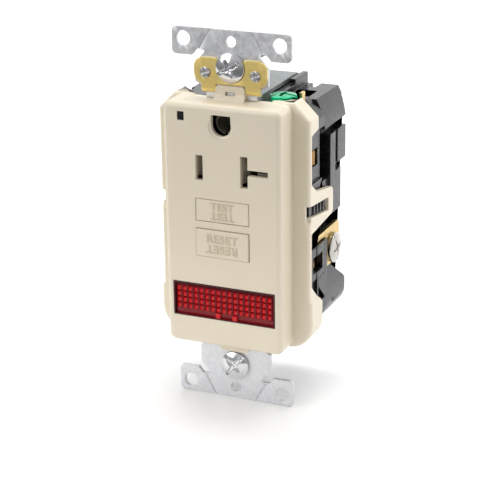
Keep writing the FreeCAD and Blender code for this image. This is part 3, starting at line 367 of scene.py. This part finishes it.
def red_prisms_finish():
    """Ruby plastic of the prisms, with a painted highlight where they crown and painted shade, dark red, in
    the grooves.
    """
    f = Finish("red_prisms", Roughness=0.28, Specular_IOR_Level=0.35)
    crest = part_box("pilot_lens")[0].y + CREST_DEPTH
    # Painted light: bright red on the crests, fading by depth into painted shade, dark red, towards the
    # grooves.
    crown = f.spread(f.along("Y"), 1.0, 0.0, crest, crest + PRISM_PAINTED_SHADE_DEPTH)
    tone = f.mixed(f.noise(900, 2), (0.62, 0.004, 0.006), (0.92, 0.012, 0.012))
    f.colour(f.mixed(crown, (0.230, 0.001, 0.006), tone))
    return f.material


def laminate_finish():
    """Circuit board: green mask, lighter in patches where copper lies under it."""
    f = Finish("laminate", Roughness=0.35)
    copper = f.cells(420)
    f.colour(f.mixed(f.spread(copper, 0, 1, 0.45, 0.55), (0.010, 0.085, 0.035), (0.020, 0.160, 0.060)))
    f.bump(copper, 0.02 * MM, 0.4)
    return f.material


def winding_finish():
    """Enamelled copper wire wound round and round."""
    f = Finish("winding", Metallic=1.0)
    wire = f.noise(1.0, 0, 0.5, f.stretched((900, 900, 5200)))
    f.colour(f.mixed(wire, (0.50, 0.17, 0.07), (0.85, 0.36, 0.18)))
    f.roughness(f.spread(wire, 0.25, 0.45))
    f.bump(wire, 0.05 * MM, 0.8)
    return f.material


# ---------------------------------------------------------------- mesh helpers

WELD = 0.0005 * MM
FLAT_ANGLE = 0.5
SHARP_ANGLE = 28
BEVEL_ROOM = 2.2
BEVEL_STRAY = 0.7


def object_from(bm, name):
    mesh = bpy.data.meshes.new(name)
    bm.normal_update()
    bm.to_mesh(mesh)
    bm.free()
    piece = bpy.data.objects.new(name, mesh)
    bpy.context.scene.collection.objects.link(piece)
    return piece


def shade_smooth(piece, angle=35):
    for polygon in piece.data.polygons:
        polygon.use_smooth = True
    piece.data.set_sharp_from_angle(angle=math.radians(angle))


def reach_from(edge, face):
    """How far a face reaches from one of its edges, measured square to the edge."""
    start = edge.verts[0].co
    along = (edge.verts[1].co - start).normalized()
    return max(((v.co - start) - along * (v.co - start).dot(along)).length for v in face.verts)


def softened(node, width, finish):
    """A copy of a CAD node with its sharp edges rounded by width, shown in the node's place."""
    bm = bmesh.new()
    bm.from_mesh(NODES[node].data)
    bmesh.ops.remove_doubles(bm, verts=bm.verts, dist=WELD)
    bmesh.ops.dissolve_degenerate(bm, edges=bm.edges, dist=WELD)
    bmesh.ops.dissolve_limit(bm, angle_limit=math.radians(FLAT_ANGLE), verts=bm.verts, edges=bm.edges,
                             use_dissolve_boundaries=False)
    bm.normal_update()
    sharp = []
    for edge in bm.edges:
        if len(edge.link_faces) != 2 or edge.calc_face_angle() < math.radians(SHARP_ANGLE):
            continue
        if all(reach_from(edge, face) > BEVEL_ROOM * width for face in edge.link_faces):
            sharp.append(edge)
    surface = BVHTree.FromBMesh(bm)
    bmesh.ops.bevel(bm, geom=sharp, offset=width, offset_type="OFFSET", segments=2, profile=0.5,
                    affect="EDGES", clamp_overlap=False)
    for vert in bm.verts:
        near, _, _, away = surface.find_nearest(vert.co)
        if away > BEVEL_STRAY * width:
            vert.co = near
    bmesh.ops.triangulate(bm, faces=[face for face in bm.faces if len(face.verts) > 4])
    piece = object_from(bm, node + "_body")
    shade_smooth(piece, 40)
    weighted = piece.modifiers.new("even_faces", "WEIGHTED_NORMAL")
    weighted.keep_sharp = True
    stand_for(piece, node, finish)


def stand_for(piece, node, *finishes):
    """Show a piece in a CAD node's place, on its body and with the given finishes, with the node hidden."""
    add_to(piece, node, *finishes)
    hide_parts(node)


def add_to(piece, node, *finishes):
    """Add a piece that goes with a CAD node: on the same body, with the given finishes."""
    for finish in finishes:
        piece.data.materials.append(finish)
    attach(piece, BODY_OF[node])


def dress(node, finish):
    """Give a CAD node that stays its finish."""
    materials = NODES[node].data.materials
    materials.clear()
    materials.append(finish)
    for polygon in NODES[node].data.polygons:
        polygon.material_index = 0


def working_spring(node, axis, moving_end, finish):
    """A copy of a CAD coil spring in the given finish, shown in the node's place; its fixed and moving ends
    are worked out but not used.
    """
    spring = bpy.data.objects.new(node + "_coil", NODES[node].data.copy())
    bpy.context.scene.collection.objects.link(spring)
    spring.data.materials.clear()
    spring.data.materials.append(finish)
    low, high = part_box(node)
    middle = (low + high) / 2
    fixed, moving = (high, low) if moving_end == "low" else (low, high)
    start, end = middle.copy(), middle.copy()
    start["xyz".index(axis)] = getattr(fixed, axis)
    end["xyz".index(axis)] = getattr(moving, axis)
    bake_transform(spring)
    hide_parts(node)


# ---------------------------------------------------------------- lens

LENS_HIDDEN_X = 0.30 * MM
LENS_HIDDEN_Z = 0.80 * MM
CREST_DEPTH = 0.12 * MM
# Depth over which the painted highlight on a prism crest fades into painted shade.
PRISM_PAINTED_SHADE_DEPTH = 0.40 * MM
PRISM_DEPTH = 0.60 * MM
PRISM_COLUMNS = 17
PRISM_ROWS = 4
PRISM_INSET = 0.44
PRISM_TOP_GAP = 1.15 * MM
PRISM_BOTTOM_GAP = 1.80 * MM
PRISM_SIDE_GAP = 0.70 * MM
INSET_HEIGHT_SHARE = 0.6
PAD_X = (-1.8 * MM, 3.1 * MM)
PAD_HALF = 0.8 * MM
PAD_BOTTOM = 0.20 * MM
PAD_TOP = 1.75 * MM
PAD_INSET = 0.08
PAD_SUNK = 0.10 * MM
RIM_DEPTH = 0.02 * MM
RIM_WIDTH = 0.28 * MM
RIM_BACK = 0.10 * MM
PRISMS, BORDER = 0, 1


def add_face(bm, points, finish=PRISMS):
    bm.faces.new([bm.verts.new(p) for p in points]).material_index = finish


def upright(x0, x1, z0, z1, y):
    """Corners of an upright rectangle at depth y."""
    return [(x0, y, z0), (x1, y, z0), (x1, y, z1), (x0, y, z1)]


def add_pyramid(bm, x0, x1, z0, z1, base, top, inset):
    """Truncated pyramid from a rectangle at depth base to a smaller one at depth top."""
    dx, dz = inset * (x1 - x0), INSET_HEIGHT_SHARE * inset * (z1 - z0)
    outer = upright(x0, x1, z0, z1, base)
    inner = upright(x0 + dx, x1 - dx, z0 + dz, z1 - dz, top)
    middle = ((x0 + x1) / 2, top, (z0 + z1) / 2)
    for k in range(4):
        n = (k + 1) % 4
        add_face(bm, [outer[k], outer[n], inner[n], inner[k]])
        add_face(bm, [inner[k], inner[n], middle])


def add_border(bm, border, inner, floor, back):
    """Raised rim round the lens, open where its lower side runs down to the floor."""
    for k in range(4):
        n = (k + 1) % 4
        behind = [(x, back, z) for x, _, z in (border[k], border[n])]
        add_face(bm, [behind[0], behind[1], border[n], border[k]], BORDER)
        add_face(bm, [border[k], border[n], inner[n], inner[k]], BORDER)
        if k != 0:
            add_face(bm, [inner[k], inner[n], floor[n], floor[k]], BORDER)


def lens_prisms():
    """Face of the lens: rows of small pyramids in a dark border, two pads in the band below, light from the
    painted highlight on their crowns.
    """
    low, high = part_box("pilot_lens")
    x0, x1 = low.x + LENS_HIDDEN_X, high.x - LENS_HIDDEN_X
    z0, z1 = low.z + LENS_HIDDEN_Z, high.z - LENS_HIDDEN_Z
    crest = low.y + CREST_DEPTH
    valley = crest + PRISM_DEPTH
    left, right = x0 + PRISM_SIDE_GAP, x1 - PRISM_SIDE_GAP
    bottom, top = z0 + PRISM_BOTTOM_GAP, z1 - PRISM_TOP_GAP
    step_x = (right - left) / PRISM_COLUMNS
    step_z = (top - bottom) / PRISM_ROWS
    bm = bmesh.new()
    for column in range(PRISM_COLUMNS):
        for row in range(PRISM_ROWS):
            x, z = left + column * step_x, bottom + row * step_z
            add_pyramid(bm, x, x + step_x, z, z + step_z, valley, crest, PRISM_INSET)
    pads = (z0 + PAD_BOTTOM, z0 + PAD_TOP)
    for x in PAD_X:
        add_pyramid(bm, x - PAD_HALF, x + PAD_HALF, *pads, valley, crest + PAD_SUNK, PAD_INSET)
    stops = [left] + [x + side for x in PAD_X for side in (-PAD_HALF, PAD_HALF)] + [right]
    for a, b in zip(stops[::2], stops[1::2]):
        add_face(bm, upright(a, b, *pads, valley))
    add_face(bm, upright(left, right, z0, pads[0], valley))
    add_face(bm, upright(left, right, pads[1], bottom, valley))
    rim = low.y + RIM_DEPTH
    border = upright(x0, x1, z0, z1, rim)
    inner = upright(x0 + RIM_WIDTH, x1 - RIM_WIDTH, z0 + RIM_WIDTH, z1 - RIM_WIDTH, rim)
    add_border(bm, border, inner, upright(left, right, z0, top, valley), high.y - RIM_BACK)
    bmesh.ops.remove_doubles(bm, verts=bm.verts, dist=0.001 * MM)
    bmesh.ops.recalc_face_normals(bm, faces=bm.faces)
    return object_from(bm, "pilot_lens_prisms")


# ---------------------------------------------------------------- screws

Head = namedtuple("Head", "radius height rim depth recess")
Recess = namedtuple("Recess", "reach half slot_reach slot_half")

BOX_HEAD = Head(4.0 * MM, 1.88 * MM, 0.90 * MM, 1.25 * MM, Recess(2.5 * MM, 0.62 * MM, 3.9 * MM, 0.42 * MM))
TERMINAL_HEAD = Head(4.19 * MM, 1.88 * MM, 1.25 * MM, 1.10 * MM,
                     Recess(2.6 * MM, 0.60 * MM, 4.1 * MM, 0.42 * MM))
RIVET_HEAD = Head(1.45 * MM, 0.44 * MM, 0.26 * MM, 0.40 * MM, Recess(1.25 * MM, 0.30 * MM, 0, 0))
SCREW_HEAD_HEIGHT = 1.9 * MM
RIVET_HEAD_HEIGHT = 0.45 * MM
RIVET_TURN = 0.35
BOX_SCREW_TURN = {"top": 0.5, "bottom": 0.9}
TERMINAL_SCREW_TURN = 0.3
HEAD_EDGE = 0.10 * MM
HEAD_RINGS = 46
HEAD_AROUND = 120
RECESS_SLOPE = 0.16 * MM

THREAD_PITCH = 0.79375 * MM
BOX_THREAD = (1.69 * MM, 1.32 * MM)
TERMINAL_THREAD = (1.98 * MM, 1.60 * MM)
THREAD_AROUND = 36
THREAD_RINGS_PER_TURN = 6
THREAD_OVERLAP = 0.1 * MM


def thread(name, start, axis, length, major, minor):
    """Threaded shank from start along axis: a helical V thread that narrows over its last turns."""
    rings = int(length / THREAD_PITCH * THREAD_RINGS_PER_TURN)
    bm = bmesh.new()
    turn = Vector((0, 0, 1)).rotation_difference(Vector(axis)).to_matrix()
    rows = []
    for r in range(rings + 1):
        z = length * r / rings
        taper = min(1.0, (length - z) / (1.6 * THREAD_PITCH) * 0.5 + 0.5)
        row = []
        for k in range(THREAD_AROUND):
            angle = 2 * math.pi * k / THREAD_AROUND
            phase = (z / THREAD_PITCH - k / THREAD_AROUND) % 1.0
            ridge = 1 - abs(2 * phase - 1)
            radius = (minor + (major - minor) * min(1, ridge * 1.25)) * taper
            point = Vector((radius * math.cos(angle), radius * math.sin(angle), z))
            row.append(bm.verts.new(Vector(start) + turn @ point))
        rows.append(row)
    for a, b in zip(rows, rows[1:]):
        for k in range(THREAD_AROUND):
            n = (k + 1) % THREAD_AROUND
            bm.faces.new((a[k], a[n], b[n], b[k]))
    bm.faces.new(list(reversed(rows[0])))
    bm.faces.new(rows[-1])
    piece = object_from(bm, name)
    shade_smooth(piece, 60)
    return piece


def smooth_step(value, low, high):
    t = min(1, max(0, (value - low) / (high - low)))
    return t * t * (3 - 2 * t)


def cross_depth(u, v, recess):
    """How deep a combination recess is at (u, v), from 0 to about 1, with sloping walls."""
    def arm(along, across):
        taper = recess.half * (1 - 0.45 * min(1, abs(along) / recess.reach))
        inside = (smooth_step(taper - abs(across), -RECESS_SLOPE, RECESS_SLOPE)
                  * smooth_step(recess.reach - abs(along), -RECESS_SLOPE, RECESS_SLOPE))
        return inside * (1 - 0.45 * min(1, abs(along) / recess.reach))

    bowl = 1.15 * smooth_step(1.05 * recess.half - math.hypot(u, v), -2 * RECESS_SLOPE, 2 * RECESS_SLOPE)
    slot = 0.0
    if abs(u) < recess.slot_reach:
        slot = 0.42 * smooth_step(recess.slot_half - abs(v), -RECESS_SLOPE / 2, RECESS_SLOPE / 2)
    return max(arm(u, v), arm(v, u), bowl, slot)


def domed_head(name, seat, axis, head, turn):
    """Domed screw head on a seat, its crown along axis, with a cross recess sunk in it."""
    frame_of = Vector((0, 0, 1)).rotation_difference(Vector(axis)).to_matrix()
    bm = bmesh.new()
    around = [2 * math.pi * n / HEAD_AROUND for n in range(HEAD_AROUND)]
    c, s = math.cos(turn), math.sin(turn)

    def point(u, v, z):
        return bm.verts.new(Vector(seat) + frame_of @ Vector((u, v, z)))

    def crowned(u, v):
        crown = head.rim + (head.height - head.rim) * (1 - (math.hypot(u, v) / head.radius) ** 2.2)
        return point(u, v, crown - head.depth * cross_depth(u * c + v * s, v * c - u * s, head.recess))

    rows = []
    for k in range(1, HEAD_RINGS + 1):
        r = 0.985 * head.radius * k / HEAD_RINGS
        rows.append([crowned(r * math.cos(angle), r * math.sin(angle)) for angle in around])
    side = ((head.radius, head.rim - HEAD_EDGE), (head.radius, HEAD_EDGE), (head.radius - HEAD_EDGE, 0.0))
    for r, z in side:
        rows.append([point(r * math.cos(angle), r * math.sin(angle), z) for angle in around])
    centre = crowned(0, 0)
    for n in range(HEAD_AROUND):
        bm.faces.new((centre, rows[0][n], rows[0][(n + 1) % HEAD_AROUND]))
    for inner, outer in zip(rows, rows[1:]):
        for n in range(HEAD_AROUND):
            m = (n + 1) % HEAD_AROUND
            bm.faces.new((inner[n], outer[n], outer[m], inner[m]))
    bm.faces.new(list(reversed(rows[-1])))
    piece = object_from(bm, name)
    shade_smooth(piece, 50)
    return piece


def box_screws(fibre):
    """Box screws at both ends, with their fibre retainers behind the strap."""
    for end in ("top", "bottom"):
        node = "box_screw_" + end
        low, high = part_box(node)
        centre = (low + high) / 2
        plate = turned("screw_plate_" + end, (0.74, 0.74, 0.76), 0.14, centre, "Y")
        seat = Vector((centre.x, low.y + SCREW_HEAD_HEIGHT, centre.z))
        stand_for(domed_head(node + "_head", seat, (0, -1, 0), BOX_HEAD, BOX_SCREW_TURN[end]), node, plate)
        start = seat - Vector((0, THREAD_OVERLAP, 0))
        add_to(thread(node + "_thread", start, (0, 1, 0), high.y - seat.y, *BOX_THREAD), node, plate)
        softened("retainer_" + end, 0.08 * MM, fibre)


def terminal_screws():
    """Line terminal screws, neutral on the right and hot on the left."""
    for side, axis in (("neutral", 1), ("hot", -1)):
        node = side + "_terminal_screw"
        low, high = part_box(node)
        centre = (low + high) / 2
        plate = turned("screw_plate_" + side, (0.50, 0.48, 0.45), 0.10, centre, "X")
        outer, inner = (high.x, low.x) if axis > 0 else (low.x, high.x)
        seat = Vector((outer - axis * SCREW_HEAD_HEIGHT, centre.y, centre.z))
        head = domed_head(node + "_head", seat, (axis, 0, 0), TERMINAL_HEAD, TERMINAL_SCREW_TURN)
        stand_for(head, node, plate)
        start = seat + Vector((axis * THREAD_OVERLAP, 0, 0))
        shank = thread(node + "_thread", start, (-axis, 0, 0), abs(seat.x - inner), *TERMINAL_THREAD)
        add_to(shank, node, plate)


def rivet_heads(finish):
    """Staked pin heads of the brass clip, each with a rolled rim and four chisel marks."""
    node = "clip_rivets"
    low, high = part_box(node)
    for x in (low.x + RIVET_HEAD.radius, high.x - RIVET_HEAD.radius):
        seat = Vector((x, low.y + RIVET_HEAD_HEIGHT, (low.z + high.z) / 2))
        stand_for(domed_head(node + "_head", seat, (0, -1, 0), RIVET_HEAD, RIVET_TURN), node, finish)


# ---------------------------------------------------------------- lettering

Word = namedtuple("Word", "text node size step")

WORDS = (Word("TEST", "test_button", 2.9 * MM, 1.20 * MM), Word("RESET", "reset_button", 3.2 * MM, 1.35 * MM))
LETTER_RISE = 0.20 * MM
LETTER_EDGE = 0.03 * MM
LETTER_WEIGHT = 0.02 * MM
LETTER_SPACING = 1.08


def raised_word(name, word, z, turned_over, finish):
    """Raised word on the front of a button, plain capitals, upright or turned over."""
    curve = bpy.data.curves.new(name, "FONT")
    curve.body = word.text
    curve.size = word.size
    curve.align_x = "CENTER"
    curve.align_y = "CENTER"
    curve.extrude = LETTER_RISE - LETTER_EDGE
    curve.bevel_depth = LETTER_EDGE
    curve.bevel_resolution = 1
    curve.offset = LETTER_WEIGHT
    curve.space_character = LETTER_SPACING
    holder = bpy.data.objects.new(name + "_curve", curve)
    bpy.context.scene.collection.objects.link(holder)
    bpy.context.view_layer.update()
    mesh = bpy.data.meshes.new_from_object(holder.evaluated_get(bpy.context.evaluated_depsgraph_get()))
    bpy.data.objects.remove(holder)
    stand = Euler((math.pi / 2, 0, 0)).to_matrix().to_4x4()
    spin = Matrix.Rotation(math.pi if turned_over else 0, 4, "Y")
    mesh.transform(Matrix.Translation((0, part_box(word.node)[0].y, z)) @ spin @ stand)
    piece = bpy.data.objects.new(name, mesh)
    bpy.context.scene.collection.objects.link(piece)
    shade_smooth(piece, 40)
    add_to(piece, word.node, finish)


def lettering(finish):
    """Each button's word twice: upright in the upper half, turned over in the lower."""
    for word in WORDS:
        low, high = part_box(word.node)
        middle = (low.z + high.z) / 2
        name = word.text.lower()
        raised_word(name + "_upright", word, middle + word.step, False, finish)
        raised_word(name + "_turned", word, middle - word.step, True, finish)


# ---------------------------------------------------------------- assembly

IVORY = (0.80, 0.715, 0.565)
IVORY_GRAIN = {"spread": 0.012, "grain": 900, "depth": 0.001, "strength": 0.3}

SOFTENED = {
    "front_cover": ("ivory", 0.16 * MM),
    "middle_frame": ("black", 0.12 * MM),
    "rear_cover": ("black", 0.20 * MM),
    "mounting_strap": ("zinc", 0.12 * MM),
    "ground_clip": ("brass", 0.08 * MM),
    "test_button": ("button", 0.10 * MM),
    "reset_button": ("button", 0.10 * MM),
    "ground_clamp": ("deep_brass", 0.08 * MM),
    "neutral_terminal": ("deep_brass", 0.10 * MM),
    "neutral_clamp_plate": ("wire", 0.08 * MM),
    "hot_terminal": ("deep_brass", 0.10 * MM),
    "hot_clamp_plate": ("wire", 0.08 * MM),
}
SPRINGS = (("reset_spring", "reset", "y", "low"), ("carrier_springs", "carrier", "y", "high"),
           ("plunger_spring", "plunger", "z", "high"))
DRESSED = {
    "wire": ("case_screws", "reset_pin", "latch_plate", "solenoid_plunger"),
    "zinc": ("solenoid_frame",),
    "deep_brass": ("test_blade", "moving_contacts", "neutral_busbar", "hot_busbar"),
    # Load buses take the darker brass with painted shade.
    "bus_brass_painted_shade": ("neutral_load_bus", "hot_load_bus"),
    "tinned": ("hot_contact", "neutral_contact", "ground_contact"),
    "copper": ("solenoid_coil", "sense_coil", "neutral_coil"),
    "laminate": ("pilot_board", "circuit_board"),
    "lamp": ("pilot_lamps", "indicator_led"),
    "smoked": ("indicator_window",),
    "nylon": ("test_pin", "contact_carrier", "solenoid_bobbin", "coil_housing"),
    "epoxy": ("control_chip", "capacitors"),
    "blue": ("varistor",),
    "tan": ("resistors",),
}


def plastics():
    """Finish of every plastic, by the name that the pieces ask for."""
    return {
        "ivory": moulded("ivory", IVORY, 0.30, **IVORY_GRAIN),
        "button": moulded("button_ivory", IVORY, 0.30, **IVORY_GRAIN),
        # Letters in a darker ivory than the button: painted shade of their relief.
        "letters_painted_shade": moulded("letter_ivory_painted_shade", (0.66, 0.575, 0.43), 0.34, spread=0.02, grain=400, depth=0.004),
        "black": moulded("black_moulding", (0.007, 0.007, 0.009), 0.27, spread=0.25, grain=3200,
                         depth=0.005, Specular_IOR_Level=0.65),
        "smoked": moulded("smoked", (0.012, 0.012, 0.013), 0.12, spread=0.2, depth=0.002),
        "nylon": moulded("natural_nylon", (0.55, 0.54, 0.49), 0.45, spread=0.06, depth=0.01),
        "fibre": moulded("fibre", (0.20, 0.055, 0.028), 0.7, spread=0.25, grain=1500, depth=0.04),
        "epoxy": moulded("epoxy_black", (0.015, 0.015, 0.016), 0.45, spread=0.2, depth=0.01),
        "blue": moulded("dipped_blue", (0.02, 0.07, 0.28), 0.35, spread=0.15, depth=0.03),
        "tan": moulded("resistor_tan", (0.52, 0.34, 0.17), 0.35, spread=0.12, depth=0.01),
        "lamp": moulded("lamp_red", (0.70, 0.06, 0.04), 0.08, spread=0.1, depth=0.002,
                        Transmission_Weight=0.5),
        "ruby": moulded("ruby_border", (0.050, 0.001, 0.004), 0.16, spread=0.3, grain=900, depth=0.004),
        "prisms": red_prisms_finish(),
        "laminate": laminate_finish(),
    }


def metals():
    """Finish of every metal but the screws' own, by the name that the pieces ask for."""
    return {
        "zinc": galvanised("galvanised"),
        "brass": brushed("brass_satin", (1.0, 0.76, 0.27), 0.32, "X", 0.03, depth=0.0006, metallic=0.5),
        "deep_brass": brushed("brass_stamped", (0.68, 0.50, 0.22), 0.32, "Z", 0.10),
        # Load buses in a darker brass: painted shade for the recess they sit in.
        "bus_brass_painted_shade": brushed("brass_bus_painted_shade", (0.42, 0.25, 0.09), 0.40, "Z", 0.20),
        "tinned": brushed("tinned_contact", (0.62, 0.59, 0.52), 0.45, "Z", 0.06),
        "wire": brushed("wire_steel", (0.62, 0.62, 0.63), 0.28, "Y", 0.08),
        "copper": winding_finish(),
    }


def build():
    finish = {**plastics(), **metals()}
    for node, (name, width) in SOFTENED.items():
        softened(node, width, finish[name])
    stand_for(lens_prisms(), "pilot_lens", finish["prisms"], finish["ruby"])
    box_screws(finish["fibre"])
    rivet_heads(finish["wire"])
    softened("ground_screw", 0.10 * MM, green_plating())
    terminal_screws()
    lettering(finish["letters_painted_shade"])
    for node, body, axis, moving_end in SPRINGS:
        working_spring(node, axis, moving_end, finish["wire"])
    for name, nodes in DRESSED.items():
        for node in nodes:
            dress(node, finish[name])


build()
add_camera()
add_floor()
add_world(0.56, 0.20)
add_lights()

bpy.context.scene.view_settings.view_transform = "Standard"
